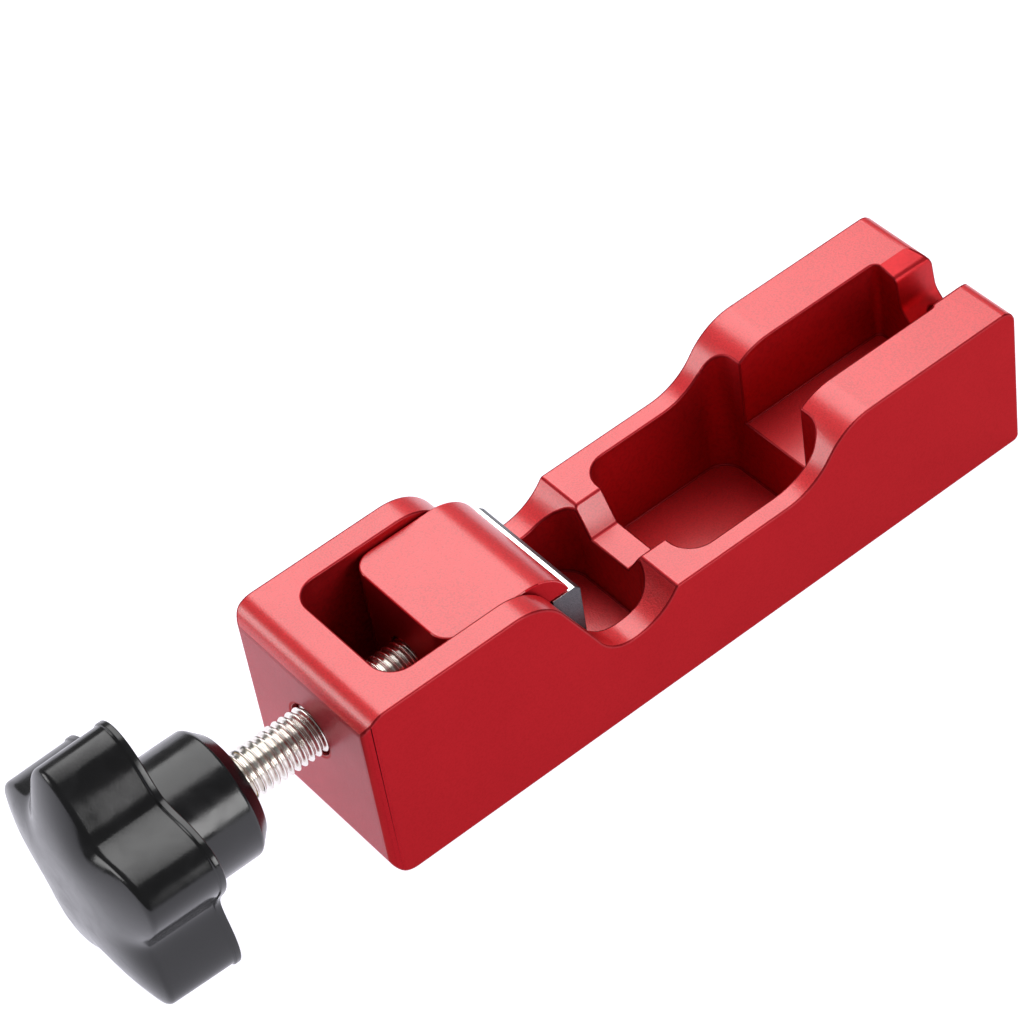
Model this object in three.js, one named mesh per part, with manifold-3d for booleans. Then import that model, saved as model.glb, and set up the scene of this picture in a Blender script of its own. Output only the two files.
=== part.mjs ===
// Screw-jaw gap setting tool: a milled aluminium body with a row of open pockets, a jaw block with
// a hardened steel face that slides in the first pocket, and a lead screw turned by a star knob.
//
// Millimetres, +Z up. The origin is the centre of the body's underside. +X runs from the knob end
// to the far end of the body, and +Y is across it. Stations named below are distances from the
// knob-end face of the body, and alongX() turns them into X.

import * as THREE from 'three';
import { mergeVertices } from 'three/addons/utils/BufferGeometryUtils.js';
import Module from 'manifold-3d';

const wasm = await Module();
wasm.setup();

// ---------------------------------------------------------------- driving dimensions

const GAP = 0.3; // clearance left between pieces that touch
const THROUGH = 1; // how far a cut runs on past the surface it opens

// Body: overall block and the curved top line
const LENGTH = 125;
const WIDTH = 32;
const KNOB_END_HEIGHT = 34.5;
const SADDLE_HEIGHT = 15;
const BRIDGE_HEIGHT = 19.5;
const FAR_END_HEIGHT = 28.1;
const KNOB_END_RADIUS = 4; // edges across the knob end, top and bottom
const KNOB_CORNER_RADIUS = 2; // upright corners of the knob end
const FAR_TOP_RADIUS = 2.5;
const FAR_BOTTOM_RADIUS = 1;
const SHOULDER = { station: 27.5, radius: 9.3 }; // convex bend above the jaw
const SADDLE = { station: 47.5, frontRadius: 6.8, rearRadius: 10.5 }; // low point of the top line
const RISE = { start: 77.9, end: 95.4 }; // S-bend up to the far end

// Body: pockets milled down from the top
const JAW_POCKET = { start: 8, end: 55.7, halfWidth: 11.6, startRadius: 4, endRadius: 5, floor: 4.3 };
const WIDE_POCKET = { start: 61.1, end: 89.1, halfWidth: 12.7, startRadius: 4.5, endRadius: 4, floor: 1.7 };
const NARROW_POCKET = { start: 80, end: 117.4, halfWidth: 6.85, startRadius: 1, endRadius: 1.2, floor: 13.2 };
const BRIDGE_NOTCH = { topHalfWidth: 7.45, bottomHalfWidth: 4.3, bottom: 14.4 };
const DIMPLE = { station: 122.2, side: -0.8, radius: 0.9, bottom: 16.5, top: 22 };

// Corners of the notch in the far wall, each [side, height]
const END_NOTCH = {
  flankTop: [-7, 29.1],
  bottom: [-0.9, 19],
  wallFoot: [1.5, 21.6],
  wallTop: [2.3, 27.3],
  shoulderEnd: [6.4, 28.2],
  ease: 1,
};

// Lead screw, M8 x 1.25, and the bore that carries it
const SCREW_HEIGHT = 20.5;
const SCREW_RADIUS = 4;
const SCREW_START = -30.6;
const SCREW_TIP = 30.2;
const SCREW_TIP_CHAMFER = 0.8;
const BORE_CHAMFER = 0.3;
const GROOVE = { station: 26.3, halfWidth: 1.55, radius: 2.9 };

// Jaw block and its steel face
const JAW = { rear: 18.2, front: 40.6, halfWidth: 11.3, top: 33.1, bottom: 4.6, cornerRadius: 3.5 };
const JAW_NOSE = { station: 32.9, radius: 8 };
const FACE = { rear: 37.2, front: 42.3, top: 27.3, bottom: 5, chamfer: 0.9, edgeRadius: 0.6 };
const FACE_SCREW = { side: 7, height: 13, radius: 1.75, headRadius: 3.4, length: 12, recess: 0.25 };
const SOCKET = { radius: 1.45, bottom: 40.4, sides: 6 };
const PIN = { radius: 1.25, top: 25.5, chamfer: 0.3 };

// Star knob with its hub and threaded insert
const HUB = { front: -14.1, radius: 10.6, chamfer: 2.3 };
const STAR = { front: -27.2, rear: -39.2, meanRadius: 18.2, lobeHeight: 3.1, lobes: 5, turn: 6.2, edge: 0.6 };
const CROWN = { height: 3.2, power: 3.5, fade: 2, rings: 12 }; // swell of the knob's outer face
const INSERT = { front: -14.5, rear: -29.6, radius: 6, grooveRadius: 5.5, grooveWidth: 1.2 };
const KNOB_BORE_END = -31.2;

const ROUND_SEGMENTS = 48;
const PIN_SEGMENTS = 24;
const LOBE_SEGMENTS = 20;
const RIM_STEPS = 3;
const ARC_STEPS = 6; // a curve in a shape becomes twice this many straight steps

// ---------------------------------------------------------------- small tools

const alongX = (station) => station - LENGTH / 2;
const radians = THREE.MathUtils.degToRad;
const QUARTER = Math.PI / 2;

function solidFrom(geometry) {
  geometry.deleteAttribute('normal');
  geometry.deleteAttribute('uv');
  const merged = mergeVertices(geometry, 1e-5);
  return new wasm.Manifold(new wasm.Mesh({
    numProp: 3,
    vertProperties: Float32Array.from(merged.attributes.position.array),
    triVerts: Uint32Array.from(merged.index.array),
  }));
}

function geometryFrom(solid) {
  const { vertProperties, triVerts } = solid.getMesh();
  const geometry = new THREE.BufferGeometry();
  geometry.setAttribute('position', new THREE.BufferAttribute(vertProperties, 3));
  geometry.setIndex(new THREE.BufferAttribute(triVerts, 1));
  geometry.computeVertexNormals();
  return geometry;
}

function extrude(shape, depth) {
  return new THREE.ExtrudeGeometry(shape, { depth, curveSegments: ARC_STEPS, bevelEnabled: false });
}

// A side view (station, height) given a width across Y.
function extrudeAcross(shape, halfWidth) {
  const axes = new THREE.Matrix4().makeBasis(
    new THREE.Vector3(1, 0, 0), new THREE.Vector3(0, 0, 1), new THREE.Vector3(0, -1, 0));
  const geometry = extrude(shape, 2 * halfWidth).applyMatrix4(axes);
  return solidFrom(geometry.translate(alongX(0), halfWidth, 0));
}

// A plan view (station, side) given a height range.
function extrudeUp(shape, low, high) {
  return solidFrom(extrude(shape, high - low).translate(alongX(0), 0, low));
}

// An end view (side, height) given a range of stations.
function extrudeAlong(shape, start, end) {
  const axes = new THREE.Matrix4().makeBasis(
    new THREE.Vector3(0, 1, 0), new THREE.Vector3(0, 0, 1), new THREE.Vector3(1, 0, 0));
  const geometry = extrude(shape, end - start).applyMatrix4(axes);
  return solidFrom(geometry.translate(alongX(start), 0, 0));
}

// A profile of [radius, station] pairs turned about the X axis.
function latheAlongX(profile, segments) {
  const points = profile.map(([radius, station]) => new THREE.Vector2(radius, station));
  return new THREE.LatheGeometry(points, segments).rotateZ(-QUARTER);
}

// The same, turned about a line parallel to X.
function turnAlongX(profile, side = 0, height = SCREW_HEIGHT, segments = ROUND_SEGMENTS) {
  return solidFrom(latheAlongX(profile, segments).translate(alongX(0), side, height));
}

// A profile of [radius, height] pairs turned about an upright line.
function turnUpright(profile, station, side) {
  const points = profile.map(([radius, height]) => new THREE.Vector2(radius, height));
  const geometry = new THREE.LatheGeometry(points, PIN_SEGMENTS).rotateX(QUARTER);
  return solidFrom(geometry.translate(alongX(station), side, 0));
}

function rod(radius, start, end, side, height, segments) {
  return turnAlongX([[0, start], [radius, start], [radius, end], [0, end]], side, height, segments);
}

// Plan of a milled pocket or block: straight sides, with its own corner radius at each end.
function roundedPlan({ start, end, halfWidth, startRadius, endRadius }) {
  const shape = new THREE.Shape();
  shape.moveTo(start + startRadius, -halfWidth);
  shape.absarc(end - endRadius, endRadius - halfWidth, endRadius, -QUARTER, 0);
  shape.absarc(end - endRadius, halfWidth - endRadius, endRadius, 0, QUARTER);
  shape.absarc(start + startRadius, halfWidth - startRadius, startRadius, QUARTER, 2 * QUARTER);
  shape.absarc(start + startRadius, startRadius - halfWidth, startRadius, 2 * QUARTER, 3 * QUARTER);
  return shape;
}

// ---------------------------------------------------------------- body

// Side view of the body. The top line falls from the knob end over a shoulder and a straight ramp
// into the saddle, climbs to the bridge, and rises by an S-bend to the far end.
function bodySideView() {
  const shoulderHeight = KNOB_END_HEIGHT - SHOULDER.radius;
  const saddleHeight = SADDLE_HEIGHT + SADDLE.frontRadius;
  const run = SADDLE.station - SHOULDER.station;
  const drop = shoulderHeight - saddleHeight;
  // the ramp is the line that touches both circles from opposite sides
  const crossing = Math.asin((SHOULDER.radius + SADDLE.frontRadius) / Math.hypot(run, drop));
  const ramp = Math.atan2(drop, run) + crossing;

  const rearCentre = SADDLE_HEIGHT + SADDLE.rearRadius;
  const bridgeEdge = Math.asin((rearCentre - BRIDGE_HEIGHT) / SADDLE.rearRadius);

  const riseRun = RISE.end - RISE.start;
  const riseHeight = FAR_END_HEIGHT - BRIDGE_HEIGHT;
  const riseRadius = (riseRun ** 2 + riseHeight ** 2) / (4 * riseHeight);
  const riseSweep = 2 * Math.atan2(riseHeight, riseRun);

  const shape = new THREE.Shape();
  shape.moveTo(KNOB_END_RADIUS, 0);
  shape.absarc(LENGTH - FAR_BOTTOM_RADIUS, FAR_BOTTOM_RADIUS, FAR_BOTTOM_RADIUS, -QUARTER, 0);
  shape.absarc(LENGTH - FAR_TOP_RADIUS, FAR_END_HEIGHT - FAR_TOP_RADIUS, FAR_TOP_RADIUS, 0, QUARTER);
  shape.absarc(RISE.end, FAR_END_HEIGHT - riseRadius, riseRadius, QUARTER, QUARTER + riseSweep);
  shape.absarc(RISE.start, BRIDGE_HEIGHT + riseRadius, riseRadius, riseSweep - QUARTER, -QUARTER, true);
  shape.absarc(SADDLE.station, rearCentre, SADDLE.rearRadius, -bridgeEdge, -QUARTER, true);
  shape.absarc(SADDLE.station, saddleHeight, SADDLE.frontRadius, -QUARTER, -QUARTER - ramp, true);
  shape.absarc(SHOULDER.station, shoulderHeight, SHOULDER.radius, QUARTER - ramp, QUARTER);
  shape.absarc(KNOB_END_RADIUS, KNOB_END_HEIGHT - KNOB_END_RADIUS, KNOB_END_RADIUS, QUARTER, 2 * QUARTER);
  shape.absarc(KNOB_END_RADIUS, KNOB_END_RADIUS, KNOB_END_RADIUS, 2 * QUARTER, 3 * QUARTER);
  return shape;
}

// End view of the bridge notch: a V with a flat bottom, open at the top.
function bridgeNotch() {
  const { topHalfWidth, bottomHalfWidth, bottom } = BRIDGE_NOTCH;
  const flank = (topHalfWidth - bottomHalfWidth) / (BRIDGE_HEIGHT - bottom);
  const above = BRIDGE_HEIGHT + THROUGH;
  const aboveHalfWidth = topHalfWidth + flank * THROUGH;
  const shape = new THREE.Shape();
  shape.moveTo(-bottomHalfWidth, bottom);
  shape.lineTo(bottomHalfWidth, bottom);
  shape.lineTo(aboveHalfWidth, above);
  shape.lineTo(-aboveHalfWidth, above);
  return shape;
}

// The point a short way from one corner towards another, and never past the middle.
function easePoint(corner, other) {
  const away = other.clone().sub(corner);
  away.setLength(Math.min(END_NOTCH.ease, away.length() / 2));
  return away.add(corner);
}

// End view of the notch in the far wall: a straight flank on one side, and on the other a shallow
// shoulder that turns down a steep wall and sweeps out into the bottom.
function endNotch() {
  const { flankTop, bottom, wallFoot, wallTop, shoulderEnd } = END_NOTCH;
  const corners = [flankTop, bottom, wallFoot, wallTop, shoulderEnd]
    .map((pair) => new THREE.Vector2(...pair));
  const shape = new THREE.Shape();
  shape.moveTo(...flankTop);
  for (let i = 1; i < corners.length - 1; i += 1) {
    const before = easePoint(corners[i], corners[i - 1]);
    const after = easePoint(corners[i], corners[i + 1]);
    shape.lineTo(before.x, before.y);
    shape.quadraticCurveTo(corners[i].x, corners[i].y, after.x, after.y);
  }
  shape.lineTo(...shoulderEnd);
  shape.lineTo(shoulderEnd[0], flankTop[1]);
  return shape;
}

// The clearance bore for the lead screw, opened out by a chamfer at the knob end.
function screwBore() {
  const radius = SCREW_RADIUS + GAP;
  return turnAlongX([
    [0, -THROUGH],
    [radius + BORE_CHAMFER + THROUGH, -THROUGH],
    [radius, BORE_CHAMFER],
    [radius, JAW_POCKET.start + THROUGH],
    [0, JAW_POCKET.start + THROUGH],
  ]);
}

// The upright corners are rounded at the knob end only, so the plan runs on past the far end.
function makeBody() {
  const above = KNOB_END_HEIGHT + THROUGH;
  const { radius, bottom, top } = DIMPLE;
  const dimple = [[0, bottom], [radius, bottom], [radius, top], [0, top]];
  const cuts = [
    extrudeUp(roundedPlan(JAW_POCKET), JAW_POCKET.floor, above),
    extrudeUp(roundedPlan(WIDE_POCKET), WIDE_POCKET.floor, above),
    extrudeUp(roundedPlan(NARROW_POCKET), NARROW_POCKET.floor, above),
    extrudeAlong(bridgeNotch(), JAW_POCKET.end - THROUGH, WIDE_POCKET.start + THROUGH),
    extrudeAlong(endNotch(), NARROW_POCKET.end - THROUGH, LENGTH + THROUGH),
    turnUpright(dimple, DIMPLE.station, DIMPLE.side),
    screwBore(),
  ];
  const outline = roundedPlan({
    start: 0,
    end: LENGTH + KNOB_CORNER_RADIUS + THROUGH,
    halfWidth: WIDTH / 2,
    startRadius: KNOB_CORNER_RADIUS,
    endRadius: KNOB_CORNER_RADIUS,
  });
  const block = extrudeAcross(bodySideView(), WIDTH / 2).intersect(extrudeUp(outline, -THROUGH, above));
  return cuts.reduce((solid, cut) => solid.subtract(cut), block);
}

// ---------------------------------------------------------------- jaw

// Side view of the jaw block: a tall block with a rounded nose and a step for the steel face.
function jawSideView() {
  const stepHeight = FACE.top + GAP;
  const noseHeight = JAW.top - JAW_NOSE.radius;
  const noseEnd = Math.asin((stepHeight - noseHeight) / JAW_NOSE.radius);
  const shape = new THREE.Shape();
  shape.moveTo(JAW.rear, JAW.bottom);
  shape.lineTo(FACE.rear - GAP, JAW.bottom);
  shape.lineTo(FACE.rear - GAP, stepHeight);
  shape.absarc(JAW_NOSE.station, noseHeight, JAW_NOSE.radius, noseEnd, QUARTER);
  shape.lineTo(JAW.rear, JAW.top);
  return shape;
}

// The corners are rounded at the knob end only, so the plan runs on past the front.
function makeJawBlock() {
  const plan = roundedPlan({
    start: JAW.rear,
    end: JAW.front + JAW.cornerRadius,
    halfWidth: JAW.halfWidth,
    startRadius: JAW.cornerRadius,
    endRadius: JAW.cornerRadius,
  });
  const screwHoleEnd = FACE.front - FACE_SCREW.length - THROUGH;
  const cuts = [rod(SCREW_RADIUS + GAP, JAW.rear - THROUGH, SCREW_TIP + GAP)];
  for (const sign of [-1, 1]) {
    const { side, height, radius } = FACE_SCREW;
    cuts.push(rod(radius + GAP, screwHoleEnd, FACE.front, sign * side, height, PIN_SEGMENTS));
    cuts.push(pin(sign, GAP, JAW.bottom - THROUGH));
  }
  const block = extrudeAcross(jawSideView(), WIDTH / 2)
    .intersect(extrudeUp(plan, JAW.bottom - THROUGH, JAW.top + THROUGH));
  return cuts.reduce((solid, cut) => solid.subtract(cut), block);
}

// A dowel pressed up beside the groove of the lead screw. grow widens it into its own hole.
function pin(sign, grow, bottom) {
  const radius = PIN.radius + grow;
  const top = PIN.top + grow;
  const side = sign * (GROOVE.radius + GAP + PIN.radius);
  return turnUpright([
    [0, bottom],
    [radius - PIN.chamfer, bottom],
    [radius, bottom + PIN.chamfer],
    [radius, top],
    [0, top],
  ], GROOVE.station, side);
}

// A countersunk screw with its head just below the front of the steel face. grow widens it into
// its own hole.
function faceScrew(sign, grow) {
  const { side, height, radius, headRadius, length, recess } = FACE_SCREW;
  const front = FACE.front - recess;
  return turnAlongX([
    [0, front - length - grow],
    [radius + grow, front - length - grow],
    [radius + grow, front - (headRadius - radius)],
    [headRadius + grow, front],
    [0, front],
  ], sign * side, height, PIN_SEGMENTS);
}

function makeFacePlate() {
  const shape = new THREE.Shape();
  shape.moveTo(FACE.rear, FACE.bottom);
  shape.lineTo(FACE.front - FACE.edgeRadius, FACE.bottom);
  shape.absarc(FACE.front - FACE.edgeRadius, FACE.bottom + FACE.edgeRadius, FACE.edgeRadius, -QUARTER, 0);
  shape.lineTo(FACE.front, FACE.top - FACE.chamfer);
  shape.lineTo(FACE.front - FACE.chamfer, FACE.top);
  shape.lineTo(FACE.rear, FACE.top);
  const { side, height, headRadius, recess } = FACE_SCREW;
  let solid = extrudeAcross(shape, JAW.halfWidth);
  for (const sign of [-1, 1]) {
    const start = FACE.front - recess;
    const mouth = rod(headRadius + GAP, start, FACE.front + THROUGH, sign * side, height, PIN_SEGMENTS);
    solid = solid.subtract(faceScrew(sign, GAP).add(mouth));
  }
  return solid;
}

function makeFaceScrew(sign) {
  const { side, height } = FACE_SCREW;
  const socket = rod(SOCKET.radius, SOCKET.bottom, FACE.front, sign * side, height, SOCKET.sides);
  return faceScrew(sign, 0).subtract(socket);
}

// ---------------------------------------------------------------- screw and knob

function makeLeadScrew() {
  const grooveStart = GROOVE.station - GROOVE.halfWidth;
  const grooveEnd = GROOVE.station + GROOVE.halfWidth;
  return turnAlongX([
    [0, SCREW_START],
    [SCREW_RADIUS, SCREW_START],
    [SCREW_RADIUS, grooveStart],
    [GROOVE.radius, grooveStart],
    [GROOVE.radius, grooveEnd],
    [SCREW_RADIUS, grooveEnd],
    [SCREW_RADIUS, SCREW_TIP - SCREW_TIP_CHAMFER],
    [SCREW_RADIUS - SCREW_TIP_CHAMFER, SCREW_TIP],
    [0, SCREW_TIP],
  ]);
}

// Brass bush moulded into the hub, with two grooves that lock it in the plastic.
function makeInsert() {
  const { front, rear, radius, grooveRadius, grooveWidth } = INSERT;
  const profile = [[SCREW_RADIUS + GAP, rear], [radius, rear]];
  for (const share of [1 / 3, 2 / 3]) {
    const middle = rear + share * (front - rear);
    profile.push([radius, middle - grooveWidth / 2], [grooveRadius, middle - grooveWidth / 2]);
    profile.push([grooveRadius, middle + grooveWidth / 2], [radius, middle + grooveWidth / 2]);
  }
  profile.push([radius, front], [SCREW_RADIUS + GAP, front], [SCREW_RADIUS + GAP, rear]);
  return turnAlongX(profile);
}

// The star before its lobes are drawn out: a flat front, straight sides, and a rounded rim that
// runs smoothly on into the crowned outer face.
function makeStar() {
  const { front, rear, meanRadius, edge } = STAR;
  const crownAt = (radius) => rear - CROWN.height * (1 - (radius / meanRadius) ** CROWN.power);
  const rimSweep = Math.atan(meanRadius / (CROWN.height * CROWN.power));
  const crownRadius = meanRadius - edge * (1 - Math.cos(rimSweep));
  const rimCentre = crownAt(crownRadius) + edge * Math.sin(rimSweep);
  const profile = [[0, front], [meanRadius - edge, front], [meanRadius, front - edge]];
  for (let step = 0; step < RIM_STEPS; step += 1) {
    const angle = (step / RIM_STEPS) * rimSweep;
    profile.push([meanRadius - edge * (1 - Math.cos(angle)), rimCentre - edge * Math.sin(angle)]);
  }
  for (let ring = CROWN.rings; ring >= 0; ring -= 1) {
    const radius = crownRadius * (ring / CROWN.rings);
    profile.push([radius, crownAt(radius)]);
  }
  const geometry = latheAlongX(profile.reverse(), STAR.lobes * LOBE_SEGMENTS);
  drawOutLobes(geometry, crownRadius);
  return solidFrom(geometry.translate(alongX(0), 0, SCREW_HEIGHT));
}

// Draws the lobes out of a turned shape: its radius swings evenly between valley and lobe as it
// goes round. Inside the full radius the swing fades, so the crown grows round towards its middle.
function drawOutLobes(geometry, fullRadius) {
  const { position } = geometry.attributes;
  for (let i = 0; i < position.count; i += 1) {
    const [side, height] = [position.getY(i), position.getZ(i)];
    const reach = Math.min(1, Math.hypot(side, height) / fullRadius) ** CROWN.fade;
    const swing = Math.cos(STAR.lobes * (Math.atan2(height, side) - radians(STAR.turn)));
    const share = 1 + (STAR.lobeHeight / STAR.meanRadius) * reach * swing;
    position.setY(i, side * share);
    position.setZ(i, height * share);
  }
}

function makeKnob() {
  const hub = turnAlongX([
    [0, STAR.front - THROUGH],
    [HUB.radius, STAR.front - THROUGH],
    [HUB.radius, HUB.front - HUB.chamfer],
    [HUB.radius - HUB.chamfer, HUB.front],
    [0, HUB.front],
  ]);
  const bore = turnAlongX([
    [0, KNOB_BORE_END],
    [SCREW_RADIUS + GAP, KNOB_BORE_END],
    [SCREW_RADIUS + GAP, INSERT.rear - GAP],
    [INSERT.radius + GAP, INSERT.rear - GAP],
    [INSERT.radius + GAP, HUB.front + THROUGH],
    [0, HUB.front + THROUGH],
  ]);
  return makeStar().add(hub).subtract(bore);
}

// ---------------------------------------------------------------- assembly

const MATERIALS = {
  redAnodised: { color: 0xc8323c, roughness: 0.45, metalness: 0.7 },
  hardenedSteel: { color: 0x5a5a5f, roughness: 0.35, metalness: 1 },
  stainless: { color: 0xc8c4bc, roughness: 0.28, metalness: 1 },
  brass: { color: 0xc9a44c, roughness: 0.35, metalness: 1 },
  blackPlastic: { color: 0x101114, roughness: 0.3, metalness: 0 },
};

function node(name, solid, finish) {
  const mesh = new THREE.Mesh(geometryFrom(solid), new THREE.MeshStandardMaterial(MATERIALS[finish]));
  mesh.name = name;
  return mesh;
}

const jawGroup = new THREE.Group();
jawGroup.add(node('jaw_block', makeJawBlock(), 'redAnodised'));
jawGroup.add(node('jaw_face_plate', makeFacePlate(), 'hardenedSteel'));
for (const [suffix, sign] of [['near', -1], ['far', 1]]) {
  jawGroup.add(node(`face_screw_${suffix}`, makeFaceScrew(sign), 'stainless'));
  jawGroup.add(node(`retaining_pin_${suffix}`, pin(sign, 0, JAW.bottom + GAP), 'stainless'));
}

const screwGroup = new THREE.Group();
screwGroup.add(node('lead_screw', makeLeadScrew(), 'stainless'));
screwGroup.add(node('knob_insert', makeInsert(), 'brass'));
screwGroup.add(node('star_knob', makeKnob(), 'blackPlastic'));

const tool = new THREE.Group();
tool.add(node('body', makeBody(), 'redAnodised'));
tool.add(jawGroup, screwGroup);

export default tool;
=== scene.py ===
"""Screw-jaw gap setting tool: the finished surfaces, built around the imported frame.

A milled and red anodised body carries a row of open pockets. A jaw block with a hardened steel face
slides in the first pocket, driven by a bright lead screw with a black star knob. Every length is in
metres, in the frame's own axes: +X along the body, +Y across it, +Z up.
"""

from __future__ import annotations

import logging
import math
from dataclasses import dataclass, field
from enum import Enum, IntEnum
from typing import Callable, Sequence

import bmesh
import bpy
import numpy as np
from mathutils import Matrix, Vector


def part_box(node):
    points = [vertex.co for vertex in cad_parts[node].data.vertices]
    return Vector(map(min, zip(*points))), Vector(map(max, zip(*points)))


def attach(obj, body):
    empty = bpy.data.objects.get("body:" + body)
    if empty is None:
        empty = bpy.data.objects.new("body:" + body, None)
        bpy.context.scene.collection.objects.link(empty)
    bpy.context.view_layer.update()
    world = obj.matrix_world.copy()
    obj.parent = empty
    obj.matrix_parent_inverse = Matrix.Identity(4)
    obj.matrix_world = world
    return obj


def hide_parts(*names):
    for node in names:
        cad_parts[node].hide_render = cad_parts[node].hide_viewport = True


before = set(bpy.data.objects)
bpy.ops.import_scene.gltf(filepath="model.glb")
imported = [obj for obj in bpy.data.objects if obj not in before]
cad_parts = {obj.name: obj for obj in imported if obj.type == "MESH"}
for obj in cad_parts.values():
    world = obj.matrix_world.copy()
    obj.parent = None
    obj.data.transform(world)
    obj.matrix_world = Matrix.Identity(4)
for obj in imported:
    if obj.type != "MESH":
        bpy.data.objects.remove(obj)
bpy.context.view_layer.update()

MM = 0.001
LOG = logging.getLogger("tool")

Colour = tuple[float, float, float]


# ------------------------------------------------------------------ frame places


@dataclass(frozen=True)
class Places:
    """Places that several pieces share, read from the frame's boxes."""

    body_low: Vector
    body_high: Vector
    screw_low: Vector
    screw_high: Vector
    knob_low: Vector
    knob_high: Vector

    @classmethod
    def from_frame(cls) -> "Places":
        """Reads the boxes of the body, the lead screw and the knob."""
        return cls(*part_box("body"), *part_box("lead_screw"), *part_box("star_knob"))

    @property
    def axis_height(self) -> float:
        """Height of the lead screw's centre line."""
        return (self.screw_low.z + self.screw_high.z) / 2

    @property
    def screw_radius(self) -> float:
        """Outer radius of the lead screw's thread."""
        return (self.screw_high.z - self.screw_low.z) / 2


# ------------------------------------------------------------------ shading


class Shader:
    """A small builder around the node tree of one material."""

    def __init__(self, name: str) -> None:
        """Starts an empty tree with a Principled surface.

        Args:
            name: the material's name.
        """
        self.material = bpy.data.materials.new(name)
        self.material.use_nodes = True
        self.tree = self.material.node_tree
        self.tree.nodes.clear()
        output = self.tree.nodes.new("ShaderNodeOutputMaterial")
        self.surface = self.tree.nodes.new("ShaderNodeBsdfPrincipled")
        self.tree.links.new(self.surface.outputs["BSDF"], output.inputs["Surface"])
        self.coordinates = self.tree.nodes.new("ShaderNodeTexCoord").outputs["Object"]

    def set(self, **values: float | Sequence[float]) -> None:
        """Sets plain numbers and colours on the surface's own sockets.

        Args:
            values: socket name with underscores for spaces, and its value.
        """
        for name, value in values.items():
            socket = self.surface.inputs[name.replace("_", " ")]
            socket.default_value = (*value, 1.0) if isinstance(value, tuple) else value

    def link(self, source: bpy.types.NodeSocket, socket: str) -> None:
        """Joins an output to one of the surface's sockets."""
        self.tree.links.new(source, self.surface.inputs[socket])

    def scaled(self, scale: tuple[float, float, float]) -> bpy.types.NodeSocket:
        """Object coordinates stretched along each axis.

        Args:
            scale: factor along X, Y and Z.

        Returns:
            The vector output of a Mapping node.
        """
        mapping = self.tree.nodes.new("ShaderNodeMapping")
        mapping.inputs["Scale"].default_value = scale
        self.tree.links.new(self.coordinates, mapping.inputs["Vector"])
        return mapping.outputs["Vector"]

    def noise(
        self,
        size: float,
        detail: float = 2.0,
        roughness: float = 0.5,
        vector: bpy.types.NodeSocket | None = None,
        distortion: float = 0.0,
    ) -> bpy.types.NodeSocket:
        """Cloudy noise whose features are about one size across.

        Args:
            size: feature size in metres.
            detail: number of finer octaves.
            roughness: weight of the finer octaves.
            vector: coordinates to use in place of the plain object coordinates.
            distortion: how far the pattern is bent.

        Returns:
            The noise value, from 0 to 1.
        """
        noise = self.tree.nodes.new("ShaderNodeTexNoise")
        noise.inputs["Scale"].default_value = 1.0 / size
        noise.inputs["Detail"].default_value = detail
        noise.inputs["Roughness"].default_value = roughness
        noise.inputs["Distortion"].default_value = distortion
        self.tree.links.new(vector or self.coordinates, noise.inputs["Vector"])
        return noise.outputs["Fac"]

    def ramp(
        self, factor: bpy.types.NodeSocket, stops: Sequence[tuple[float, Colour]]
    ) -> bpy.types.NodeSocket:
        """Turns a value into a colour.

        Args:
            factor: the value.
            stops: positions from 0 to 1 with their colours.

        Returns:
            The colour output.
        """
        ramp = self.tree.nodes.new("ShaderNodeValToRGB")
        points = ramp.color_ramp.elements
        while len(points) < len(stops):
            points.new(0.5)
        for point, (position, colour) in zip(points, stops):
            point.position = position
            point.color = (*colour, 1.0)
        self.tree.links.new(factor, ramp.inputs["Fac"])
        return ramp.outputs["Color"]

    def range(
        self, factor: bpy.types.NodeSocket, low: float, high: float
    ) -> bpy.types.NodeSocket:
        """Spreads a value that stays near its middle over a range.

        Args:
            factor: the value, mostly from 0.3 to 0.7.
            low: result at 0.3.
            high: result at 0.7.

        Returns:
            The mapped value.
        """
        mapped = self.tree.nodes.new("ShaderNodeMapRange")
        mapped.inputs["From Min"].default_value = 0.3
        mapped.inputs["From Max"].default_value = 0.7
        mapped.inputs["To Min"].default_value = low
        mapped.inputs["To Max"].default_value = high
        self.tree.links.new(factor, mapped.inputs["Value"])
        return mapped.outputs["Result"]

    def bump(
        self,
        height: bpy.types.NodeSocket,
        depth: float,
        below: bpy.types.NodeSocket | None = None,
    ) -> bpy.types.NodeSocket:
        """A bump of a real depth.

        Args:
            height: the pattern, from 0 to 1.
            depth: depth of the full pattern in metres.
            below: normal of a coarser bump under this one.

        Returns:
            The normal output.
        """
        bump = self.tree.nodes.new("ShaderNodeBump")
        bump.inputs["Distance"].default_value = depth
        bump.inputs["Strength"].default_value = 1.0
        self.tree.links.new(height, bump.inputs["Height"])
        if below is not None:
            self.tree.links.new(below, bump.inputs["Normal"])
        return bump.outputs["Normal"]


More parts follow.
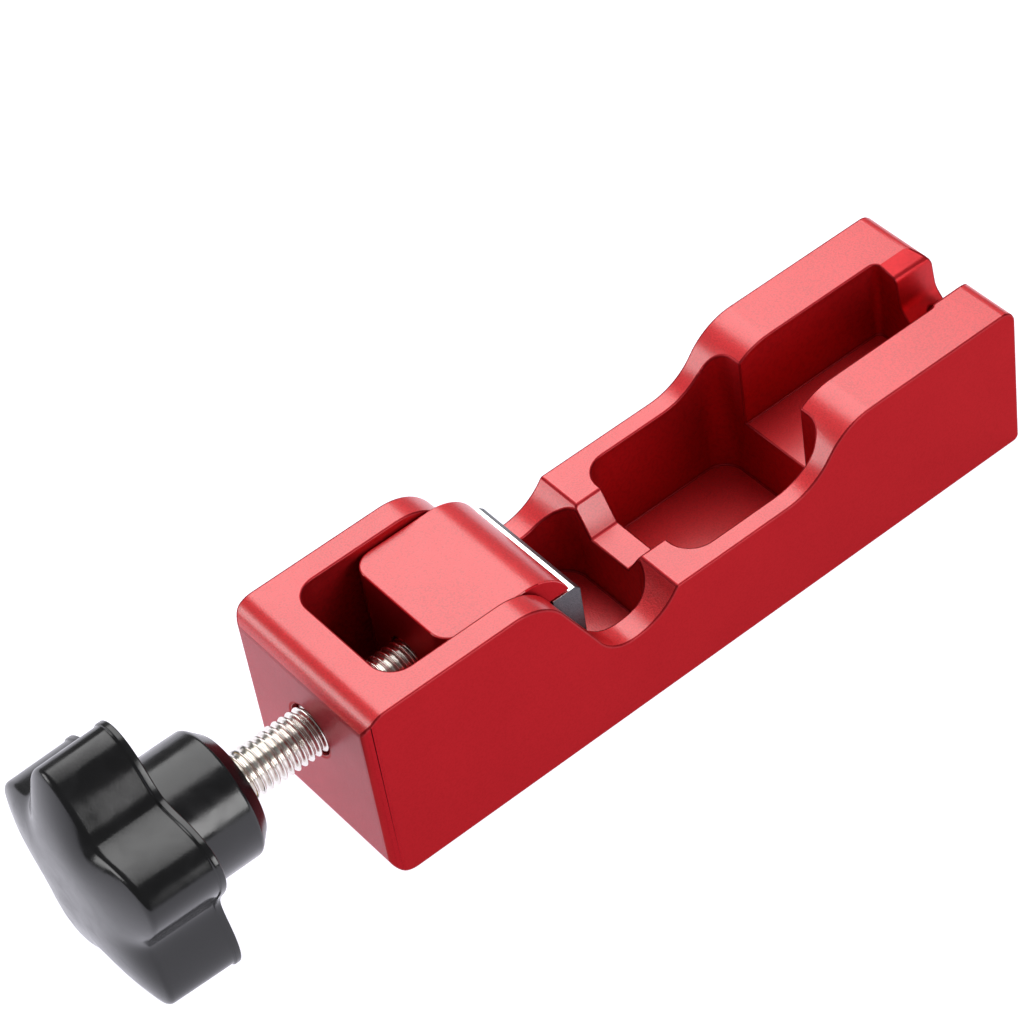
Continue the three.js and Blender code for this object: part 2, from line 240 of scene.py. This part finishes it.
@dataclass(frozen=True)
class AnodisedFinish:
    """Dyed aluminium under a hard clear oxide layer, either blasted or left as milled."""

    name: str
    light: Colour = (0.74, 0.018, 0.026)
    dark: Colour = (0.60, 0.013, 0.019)
    metallic: float = 0.75
    roughness: float = 0.6
    coat: float = 1.0
    coat_index: float = 1.7
    coat_roughness: float = 0.28
    edge_tint: Colour = (1.0, 0.6, 0.6)
    grain_size: float = 0.3 * MM
    grain_depth: float = 0.12 * MM

    def material(self) -> bpy.types.Material:
        """Builds the material: grain in the colour, the roughness and the bump."""
        shader = Shader(self.name)
        grain = shader.noise(self.grain_size, detail=3.0, roughness=0.6)
        cloud = shader.noise(9 * MM, detail=2.0)
        shader.link(shader.ramp(grain, [(0.34, self.dark), (0.56, self.light)]), "Base Color")
        shader.link(shader.range(cloud, self.roughness - 0.04, self.roughness + 0.04), "Roughness")
        shader.link(shader.bump(grain, self.grain_depth), "Normal")
        shader.set(
            Metallic=self.metallic,
            Coat_Weight=self.coat,
            Coat_Roughness=self.coat_roughness,
            Coat_IOR=self.coat_index,
            Specular_Tint=self.edge_tint,
        )
        return shader.material


@dataclass(frozen=True)
class SteelFinish:
    """Bare steel with fine ground lines along one axis."""

    name: str
    colour: Colour
    dark: Colour
    roughness: float = 0.3
    line_scale: tuple[float, float, float] = (1.0, 0.05, 1.0)
    line_size: float = 0.15 * MM
    line_depth: float = 0.006 * MM

    def material(self) -> bpy.types.Material:
        """Builds the material: drawn-out noise for the grinding lines."""
        shader = Shader(self.name)
        lines = shader.noise(self.line_size, detail=3.0, vector=shader.scaled(self.line_scale))
        shader.link(shader.ramp(lines, [(0.3, self.dark), (0.65, self.colour)]), "Base Color")
        shader.link(shader.range(lines, self.roughness - 0.06, self.roughness + 0.08), "Roughness")
        shader.link(shader.bump(lines, self.line_depth), "Normal")
        shader.set(Metallic=1.0)
        return shader.material


@dataclass(frozen=True)
class PlasticFinish:
    """Glossy black moulding with faint flow marks."""

    name: str
    colour: Colour = (0.006, 0.006, 0.007)
    roughness: float = 0.18

    def material(self) -> bpy.types.Material:
        """Builds the material: slow waves in the gloss, and a very fine skin."""
        shader = Shader(self.name)
        flow = shader.noise(3.5 * MM, detail=2.0, distortion=0.6)
        skin = shader.noise(0.3 * MM, detail=3.0)
        darker = tuple(0.6 * channel for channel in self.colour)
        shader.link(shader.ramp(flow, [(0.3, darker), (0.7, self.colour)]), "Base Color")
        shader.link(shader.range(flow, self.roughness - 0.04, self.roughness + 0.08), "Roughness")
        waves = shader.bump(flow, 0.012 * MM)
        shader.link(shader.bump(skin, 0.007 * MM, below=waves), "Normal")
        shader.set(IOR=1.52)
        return shader.material


class Paint(IntEnum):
    """Order of the materials on an anodised piece."""

    BLASTED = 0
    SATIN = 1
    MILLED = 2
    SMOOTH = 3
    # painted shade: darker red on the knob end face, for the black knob's reflection
    END = 4
    # painted shade: darker red on the rounded edge breaks
    EDGE = 5


class Finishes:
    """Every material, made once and shared."""

    def __init__(self) -> None:
        """Builds the materials."""
        self.anodised = [
            AnodisedFinish("blasted_red").material(),
            AnodisedFinish(
                "satin_red",
                light=(0.38, 0.010, 0.016),
                dark=(0.34, 0.008, 0.013),
                roughness=0.42,
                coat=0.0,
                edge_tint=(0.8, 0.12, 0.16),
                grain_size=0.35 * MM,
                grain_depth=0.006 * MM,
            ).material(),
            AnodisedFinish(
                "milled_red",
                light=(0.56, 0.009, 0.014),
                dark=(0.46, 0.006, 0.010),
                roughness=0.5,
                coat=0.2,
                coat_index=1.5,
                coat_roughness=0.3,
                grain_size=0.6 * MM,
                grain_depth=0.006 * MM,
            ).material(),
            AnodisedFinish(
                "smooth_red",
                light=(0.52, 0.012, 0.018),
                dark=(0.46, 0.010, 0.015),
                roughness=0.4,
                coat=0.25,
                coat_index=1.5,
                coat_roughness=0.25,
                grain_size=0.7 * MM,
                grain_depth=0.003 * MM,
            ).material(),
            # painted shade: a darker, less glossy red for the knob end face, standing in for the black knob's
            # reflection in it
            AnodisedFinish(
                "shaded_end_red",
                light=(0.42, 0.014, 0.028),
                dark=(0.34, 0.010, 0.020),
                roughness=0.5,
                coat=0.6,
                coat_index=1.5,
                coat_roughness=0.3,
                edge_tint=(0.8, 0.3, 0.4),
            ).material(),
            # painted shade: a darker red on the rounded edge breaks, for the dark lines the light leaves
            # along them
            AnodisedFinish(
                "shaded_edge_red",
                light=(0.36, 0.010, 0.016),
                dark=(0.30, 0.008, 0.013),
                roughness=0.4,
                coat=0.15,
                edge_tint=(0.8, 0.2, 0.2),
                grain_depth=0.01 * MM,
            ).material(),
        ]
        self.hard_steel = SteelFinish(
            "hardened_steel", colour=(0.13, 0.13, 0.14), dark=(0.05, 0.05, 0.055), roughness=0.38
        ).material()
        self.bright_steel = SteelFinish(
            "polished_steel", colour=(0.86, 0.86, 0.86), dark=(0.7, 0.7, 0.7), roughness=0.16
        ).material()
        self.thread = SteelFinish(
            "rolled_thread",
            colour=(0.84, 0.81, 0.77),
            dark=(0.70, 0.66, 0.61),
            roughness=0.2,
            line_scale=(0.3, 1.0, 1.0),
            line_size=0.9 * MM,
        ).material()
        self.brass = SteelFinish(
            "turned_brass", colour=(0.72, 0.52, 0.22), dark=(0.52, 0.36, 0.13), line_scale=(1.0, 0.1, 0.1)
        ).material()
        self.plastic = PlasticFinish("glossy_black").material()


# ------------------------------------------------------------------ meshes


def bevelled_copy(node: str, name: str, width: float, segments: int = 2) -> bpy.types.Object:
    """Copies a CAD node, merges its flat faces and rounds its edges.

    Args:
        node: name of the CAD node.
        name: name of the new piece.
        width: width of the edge break in metres.
        segments: steps across the edge break.

    Returns:
        The new object, with live Bevel and Weighted Normal modifiers.
    """
    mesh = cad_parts[node].data.copy()
    mesh.name = name
    mesh.materials.clear()
    work = bmesh.new()
    work.from_mesh(mesh)
    bmesh.ops.remove_doubles(work, verts=work.verts, dist=0.002 * MM)
    bmesh.ops.dissolve_limit(
        work, angle_limit=math.radians(0.4), verts=work.verts, edges=work.edges, use_dissolve_boundaries=False
    )
    for face in work.faces:
        face.smooth = True
    work.to_mesh(mesh)
    work.free()
    piece = bpy.data.objects.new(name, mesh)
    bpy.context.scene.collection.objects.link(piece)
    bevel = piece.modifiers.new("edge_break", "BEVEL")
    bevel.width = width
    bevel.segments = segments
    bevel.limit_method = "ANGLE"
    bevel.angle_limit = math.radians(25)
    bevel.use_clamp_overlap = False
    bevel.loop_slide = False
    bevel.profile = 0.6
    weighted = piece.modifiers.new("flat_faces", "WEIGHTED_NORMAL")
    weighted.keep_sharp = True
    weighted.weight = 60
    return piece


def paint_faces(
    piece: bpy.types.Object,
    materials: Sequence[bpy.types.Material],
    choose: Callable[[np.ndarray, np.ndarray], np.ndarray],
) -> None:
    """Gives each face one of several materials.

    Args:
        piece: the object.
        materials: the materials in order.
        choose: takes the faces' centres and normals, and gives each face's place in the order.
    """
    mesh = piece.data
    for material in materials:
        mesh.materials.append(material)
    centres = np.empty(len(mesh.polygons) * 3, np.float32)
    normals = np.empty(len(mesh.polygons) * 3, np.float32)
    mesh.polygons.foreach_get("center", centres)
    mesh.polygons.foreach_get("normal", normals)
    picked = choose(centres.reshape(-1, 3), normals.reshape(-1, 3))
    mesh.polygons.foreach_set("material_index", picked.astype(np.int32))
    mesh.update()


def revolved_grid(name: str, points: np.ndarray, sharp: float = 40.0) -> bpy.types.Object:
    """A closed surface from rings that run round one line, with a pole at each end.

    The rows of the grid are rings, and the columns run round them. Neighbouring rings are joined by
    quads, and the first and the last ring are each closed by a fan to their middle.

    Args:
        name: name of the new piece.
        points: array of rings by columns by 3.
        sharp: angle in degrees above which an edge stays sharp.

    Returns:
        The new object.
    """
    rings, columns = points.shape[:2]
    poles = points[[0, -1]].mean(axis=1)
    vertices = np.concatenate([points.reshape(-1, 3), poles])
    ring = np.arange(rings - 1)[:, None] * columns
    here = np.arange(columns)[None, :]
    after = (here + 1) % columns
    quads = np.stack([ring + here, ring + after, ring + columns + after, ring + columns + here], axis=-1)
    first, last = rings * columns, rings * columns + 1
    top = (rings - 1) * columns
    start_fan = np.stack([np.full(columns, first), after[0], here[0]], axis=-1)
    end_fan = np.stack([np.full(columns, last), top + here[0], top + after[0]], axis=-1)
    mesh = bpy.data.meshes.new(name)
    faces = quads.reshape(-1, 4).tolist() + start_fan.tolist() + end_fan.tolist()
    mesh.from_pydata(vertices, [], faces)
    mesh.polygons.foreach_set("use_smooth", np.ones(len(faces), bool))
    mesh.update()
    mesh.set_sharp_from_angle(angle=math.radians(sharp))
    piece = bpy.data.objects.new(name, mesh)
    bpy.context.scene.collection.objects.link(piece)
    return piece


def settle(piece: bpy.types.Object, node: str, body: str) -> bpy.types.Object:
    """Puts a finished piece in place of a CAD node.

    Args:
        piece: the new object.
        node: the CAD node that it stands for.
        body: the body that it rides on.

    Returns:
        The same object.
    """
    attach(piece, body)
    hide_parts(node)
    LOG.info("%s stands for %s on %s", piece.name, node, body)
    return piece


# ------------------------------------------------------------------ body


@dataclass
class Body:
    """The milled block with its pockets, saddle, bridge notch and end notch."""

    places: Places
    finishes: Finishes
    edge_break: float = 0.32 * MM
    corner: float = 2.1 * MM
    far_wall: float = 7.6 * MM
    notch_half_width: float = 6.3 * MM
    skin: float = 0.1 * MM
    upright_limit: float = 0.2
    side_limit: float = 0.9
    notch_limit: float = -0.5

    def build(self) -> bpy.types.Object:
        """Makes the block and dresses it."""
        piece = bevelled_copy("body", "milled_body", self.edge_break)
        paint_faces(piece, self.finishes.anodised, self.choose)
        # painted shade: the edge breaks take the darker red
        piece.modifiers["edge_break"].material = int(Paint.EDGE)
        return settle(piece, "body", "body")

    def choose(self, centres: np.ndarray, normals: np.ndarray) -> np.ndarray:
        """Blasted where the block was open to the blast, satin on its long sides and their corners.

        Pocket walls are milled, the end notch is smooth, and the knob end gets a darker red: painted shade
        for the black knob's reflection in it.

        Args:
            centres: faces' centres.
            normals: faces' normals.

        Returns:
            The paint of each face.
        """
        low, high = self.places.body_low, self.places.body_high
        upright = np.abs(normals[:, 2]) < self.upright_limit
        outer_side = np.abs(centres[:, 1]) > high.y - self.skin
        knob_end = centres[:, 0] < low.x + self.skin
        outer_end = knob_end | (centres[:, 0] > high.x - self.skin)
        near_end = centres[:, 0] - low.x < self.corner
        in_corner = near_end & (np.abs(centres[:, 1]) > high.y - self.corner) & upright & ~outer_end
        in_far_wall = centres[:, 0] > high.x - self.far_wall
        in_notch = in_far_wall & (np.abs(centres[:, 1]) < self.notch_half_width) & ~outer_end
        paint = np.full(len(centres), int(Paint.BLASTED))
        paint[upright & ~outer_end] = int(Paint.MILLED)
        paint[in_notch & (normals[:, 0] > self.notch_limit)] = int(Paint.SMOOTH)
        paint[in_corner | (outer_side & (np.abs(normals[:, 1]) > self.side_limit))] = int(Paint.SATIN)
        # painted shade: the knob end face is darker red where it reflects the black knob
        paint[knob_end] = int(Paint.END)
        return paint


# ------------------------------------------------------------------ jaw


@dataclass
class Jaw:
    """The sliding block, its hardened face and what holds them together."""

    finishes: Finishes
    edge_break: float = 0.35 * MM
    small_break: float = 0.12 * MM

    def build(self) -> list[bpy.types.Object]:
        """Makes every piece of the jaw."""
        return [self.block(), self.face_plate(), *self.fasteners()]

    def block(self) -> bpy.types.Object:
        """The blasted block, with satin cheeks."""
        piece = bevelled_copy("jaw_block", "sliding_jaw", self.edge_break, segments=3)

        def choose(centres: np.ndarray, normals: np.ndarray) -> np.ndarray:
            """Satin on the upright faces and blasted above."""
            return np.where(np.abs(normals[:, 2]) < 0.1, int(Paint.SATIN), int(Paint.BLASTED))

        paint_faces(piece, self.finishes.anodised, choose)
        return settle(piece, "jaw_block", "jaw")

    def face_plate(self) -> bpy.types.Object:
        """The dark plate with its polished top edge."""
        piece = bevelled_copy("jaw_face_plate", "steel_face", self.small_break)

        def choose(centres: np.ndarray, normals: np.ndarray) -> np.ndarray:
            """Bright on the faces that look straight up, dark elsewhere."""
            return np.where(normals[:, 2] > 0.9, 1, 0)

        paint_faces(piece, [self.finishes.hard_steel, self.finishes.bright_steel], choose)
        return settle(piece, "jaw_face_plate", "jaw")

    def fasteners(self) -> list[bpy.types.Object]:
        """The countersunk screws of the plate and the pins that hold the lead screw."""
        pieces = []
        for kind in ("face_screw", "retaining_pin"):
            for side in ("near", "far"):
                piece = bevelled_copy(f"{kind}_{side}", f"{kind}_{side}_fine", self.small_break)
                piece.data.materials.append(self.finishes.thread)
                pieces.append(settle(piece, f"{kind}_{side}", "jaw"))
        return pieces


# ------------------------------------------------------------------ screw


@dataclass
class LeadScrew:
    """The rolled right-hand thread with its retaining groove."""

    places: Places
    finishes: Finishes
    pitch: float = 1.25 * MM
    depth: float = 0.72 * MM
    columns: int = 72
    rings_per_turn: int = 14
    chamfer: float = 0.8 * MM
    groove: tuple[float, float] = (-37.75 * MM, -34.65 * MM)
    groove_radius: float = 2.9 * MM
    groove_step: float = 0.01 * MM

    def build(self) -> bpy.types.Object:
        """Makes the threaded bar.

        A point of the bar is set by its place x along the screw and its angle round it. Its radius is
        the outer radius less the thread's depth times a wave that rises and falls once per pitch. The
        wave's phase is x over the pitch less the angle over a full turn, so its crest is a helix.
        """
        start, tip = self.places.screw_low.x, self.places.screw_high.x
        turns = (tip - start) / self.pitch
        x = np.linspace(start, tip, int(turns * self.rings_per_turn))
        near, far = self.groove
        marks = [near, near + self.groove_step, far - self.groove_step, far]
        x = np.unique(np.concatenate([x, marks]))
        angle = np.arange(self.columns) * 2 * math.pi / self.columns
        phase = (x[:, None] / self.pitch - angle[None, :] / (2 * math.pi)) % 1.0
        radius = self.places.screw_radius - self.depth * self.cut(phase)
        ends = np.minimum(x - start, tip - x)
        limit = self.places.screw_radius - np.clip(self.chamfer - ends, 0, None)
        in_groove = (x > near) & (x < far)
        limit = np.where(in_groove, self.groove_radius, limit)
        radius = np.minimum(radius, limit[:, None])
        points = np.stack(
            [
                np.broadcast_to(x[:, None], radius.shape),
                -radius * np.sin(angle),
                self.places.axis_height + radius * np.cos(angle),
            ],
            axis=-1,
        )
        piece = revolved_grid("threaded_screw", points, sharp=70.0)
        piece.data.materials.append(self.finishes.thread)
        return settle(piece, "lead_screw", "screw")

    @staticmethod
    def cut(phase: np.ndarray) -> np.ndarray:
        """Depth of the thread over one pitch, from 0 on the crest to 1 in the root.

        The flanks are straight, and a smooth step rounds the crest and the root.

        Args:
            phase: place within the pitch, from 0 to 1, with the crest at 0.

        Returns:
            The share of the full depth.
        """
        crest_end, root_start, straight = 0.14, 0.82, 0.6
        away = 1 - np.abs(2 * phase - 1)
        slope = np.clip((away - crest_end) / (root_start - crest_end), 0, 1)
        return straight * slope + (1 - straight) * slope * slope * (3 - 2 * slope)


@dataclass(frozen=True)
class Corner:
    """One corner of the knob's profile.

    Its radius at an angle is the round part plus its share of the star's outline there, so a share
    of 0 is a circle and a share of 1 is the star.
    """

    x: float
    round_part: float
    share: float = 0.0
    ease: float = 0.0

    def toward(self, other: "Corner", mean_radius: float) -> np.ndarray:
        """The point where the easing of this corner meets the line to another.

        Args:
            other: the neighbouring corner.
            mean_radius: mean radius of the star.

        Returns:
            Its x, round part and share.
        """
        here, there = np.array(self.ring), np.array(other.ring)
        span = there - here
        length = math.hypot(span[0], span[1] + span[2] * mean_radius)
        return here + span * min(self.ease / length, 0.5)

    @property
    def ring(self) -> tuple[float, float, float]:
        """The corner as a ring: x, round part and share."""
        return self.x, self.round_part, self.share


@dataclass
class Knob:
    """The moulded star with its hub, and the threaded bush inside it."""

    places: Places
    finishes: Finishes
    lobes: int = 5
    mean_radius: float = 18.2 * MM
    lobe_height: float = 3.1 * MM
    turn: float = math.radians(6.2)
    columns: int = 300
    hub_radius: float = 10.6 * MM
    hub_chamfer: float = 2.3 * MM
    star_front: float = -89.7 * MM
    crown: float = 3.2 * MM
    crown_power: float = 3.5
    crown_fade: int = 2
    crown_rings: int = 18
    crown_span: tuple[float, float] = (0.92, 0.05)
    bore_radius: float = 6.3 * MM
    bore_step: float = -92.4 * MM
    bore_end: float = -93.7 * MM
    screw_hole: float = 4.3 * MM
    lip: float = 0.3 * MM
    lip_width: float = 1.0 * MM
    lip_slope: float = 0.2 * MM
    draft: float = 0.25 * MM
    rim: float = 0.7 * MM

    def build(self) -> list[bpy.types.Object]:
        """Makes the knob and its insert."""
        insert = bevelled_copy("knob_insert", "brass_insert", 0.1 * MM)
        insert.data.materials.append(self.finishes.brass)
        settle(insert, "knob_insert", "screw")
        return [self.moulding(), insert]

    def star(self, angle: np.ndarray) -> np.ndarray:
        """Radius of the star: its mean radius plus a cosine with one wave to each lobe."""
        return self.mean_radius + self.lobe_height * np.cos(self.lobes * (angle - self.turn))

    def corners(self) -> list[Corner]:
        """The profile, from the bottom of the bore to the middle of the outer face.

        It runs out over the hub and its chamfer, across the star's flat front, over the lip and along
        the drafted side. The outer face swells by a power curve, and grows round towards its middle.
        """
        front, middle = self.places.knob_high.x, self.places.knob_low.x
        rear = middle + self.crown
        lip_rear = self.star_front - self.lip_width
        sunk = self.lip + self.draft
        fine = 0.02 * MM
        profile = [
            Corner(self.bore_end, 0.4 * self.screw_hole),
            Corner(self.bore_end, self.screw_hole, ease=fine),
            Corner(self.bore_step, self.screw_hole, ease=fine),
            Corner(self.bore_step, self.bore_radius, ease=fine),
            Corner(front, self.bore_radius, ease=0.25 * MM),
            Corner(front, self.hub_radius - self.hub_chamfer, ease=0.4 * MM),
            Corner(front - self.hub_chamfer, self.hub_radius, ease=0.45 * MM),
            Corner(self.star_front, self.hub_radius, ease=0.6 * MM),
            Corner(self.star_front, 0.0, share=1.0, ease=0.3 * MM),
            Corner(lip_rear, 0.0, share=1.0, ease=0.15 * MM),
            Corner(lip_rear - self.lip_slope, -self.lip, share=1.0, ease=0.15 * MM),
            Corner(rear, -sunk, share=1.0, ease=self.rim),
        ]
        for scale in np.linspace(*self.crown_span, self.crown_rings):
            x = rear - self.crown * (1 - scale**self.crown_power)
            share = scale ** (self.crown_fade + 1)
            profile.append(Corner(x, self.mean_radius * (scale - share) - sunk * scale, share=share))
        return profile

    def rings(self, steps: int = 6) -> np.ndarray:
        """The profile with its eased corners rounded by a quadratic curve.

        Args:
            steps: rings along each rounding.

        Returns:
            One row of x, round part and share for each ring.
        """
        corners = self.corners()
        rows = [corners[0].ring]
        for before, corner, after in zip(corners, corners[1:], corners[2:]):
            if corner.ease == 0.0:
                rows.append(corner.ring)
                continue
            start = corner.toward(before, self.mean_radius)
            end = corner.toward(after, self.mean_radius)
            for t in np.linspace(0, 1, steps):
                rows.append(start * (1 - t) ** 2 + np.array(corner.ring) * 2 * t * (1 - t) + end * t**2)
        rows.append(corners[-1].ring)
        return np.array(rows)

    def moulding(self) -> bpy.types.Object:
        """The hub and the star as one surface, one ring for each step of the profile."""
        x, round_part, share = self.rings().T
        angle = -np.arange(self.columns) * 2 * math.pi / self.columns
        outline = self.star(angle)[None, :] * share[:, None] + round_part[:, None]
        points = np.stack(
            [
                np.broadcast_to(x[:, None], outline.shape),
                outline * np.cos(angle),
                self.places.axis_height + outline * np.sin(angle),
            ],
            axis=-1,
        )
        piece = revolved_grid("moulded_star_knob", points, sharp=50.0)
        piece.data.materials.append(self.finishes.plastic)
        return settle(piece, "star_knob", "screw")


# ------------------------------------------------------------------ stage


class Softbox(Enum):
    """Studio lights: place, size, roll in degrees and power."""

    BACK_TOP = ((0.23, 0.36, 0.70), (0.55, 0.95), 37.0, 5.2)
    FRONT_LOW = ((0.22, -0.69, 0.30), (0.32, 0.38), 0.0, 2.4)
    LEFT_BACK = ((-0.60, 0.48, 0.31), (0.4, 0.3), 0.0, 1.5)


@dataclass
class Studio:
    """Pale floor, soft lights and the camera."""

    floor_size: float = 6.0
    focal_length: float = 131.26
    eye: tuple[float, float, float] = (-0.220877, -0.318254, 0.424044)
    right: tuple[float, float, float] = (0.7700144, -0.62662811, -0.12006263)
    ahead: tuple[float, float, float] = (0.36758823, 0.58951382, -0.71927209)
    aim: Vector = field(default_factory=lambda: Vector((-0.01, 0.0, 0.015)))

    def build(self) -> None:
        """Sets up everything that isn't the object."""
        self.camera()
        self.floor()
        self.lights()
        bpy.context.scene.view_settings.view_transform = "Standard"

    def camera(self) -> None:
        """A long lens that looks down over the knob along the body."""
        data = bpy.data.cameras.new("camera")
        data.lens = self.focal_length
        data.sensor_width = 36.0
        data.clip_start = 0.01
        camera = bpy.data.objects.new("camera", data)
        right, ahead = Vector(self.right).normalized(), Vector(self.ahead).normalized()
        up = right.cross(ahead)
        rotation = Matrix((right, up, -ahead)).transposed().to_4x4()
        camera.matrix_world = Matrix.Translation(Vector(self.eye)) @ rotation
        bpy.context.scene.collection.objects.link(camera)
        bpy.context.scene.camera = camera

    def floor(self) -> None:
        """One large pale sheet under the body."""
        half = self.floor_size / 2
        mesh = bpy.data.meshes.new("floor")
        corners = [(-half, -half, 0), (half, -half, 0), (half, half, 0), (-half, half, 0)]
        mesh.from_pydata(corners, [], [(0, 1, 2, 3)])
        floor = bpy.data.objects.new("floor", mesh)
        bpy.context.scene.collection.objects.link(floor)
        shader = Shader("pale_floor")
        cloud = shader.noise(0.4, detail=2.0)
        shader.link(shader.ramp(cloud, [(0.3, (0.29, 0.29, 0.30)), (0.7, (0.31, 0.31, 0.32))]), "Base Color")
        shader.set(Roughness=0.9, Emission_Color=(0.91, 0.90, 1.0), Emission_Strength=1.1)
        mesh.materials.append(shader.material)

    def lights(self) -> None:
        """A dim white surround with soft boxes."""
        world = bpy.data.worlds.new("surround")
        world.use_nodes = True
        background = world.node_tree.nodes["Background"]
        background.inputs["Color"].default_value = (1.0, 1.0, 1.0, 1.0)
        background.inputs["Strength"].default_value = 0.22
        bpy.context.scene.world = world
        for box in Softbox:
            place, (width, depth), roll, power = box.value
            data = bpy.data.lights.new(box.name.lower(), "AREA")
            data.shape = "RECTANGLE"
            data.size, data.size_y = width, depth
            data.energy = power
            light = bpy.data.objects.new(box.name.lower(), data)
            turned = (self.aim - Vector(place)).to_track_quat("-Z", "Y").to_matrix().to_4x4()
            rolled = turned @ Matrix.Rotation(math.radians(roll), 4, "Z")
            light.matrix_world = Matrix.Translation(Vector(place)) @ rolled
            bpy.context.scene.collection.objects.link(light)


def main() -> None:
    """Builds the studio and every piece."""
    logging.basicConfig(level=logging.INFO, format="%(name)s: %(message)s")
    Studio().build()
    places = Places.from_frame()
    finishes = Finishes()
    Body(places, finishes).build()
    Jaw(finishes).build()
    LeadScrew(places, finishes).build()
    Knob(places, finishes).build()


if __name__ == "__main__":
    main()
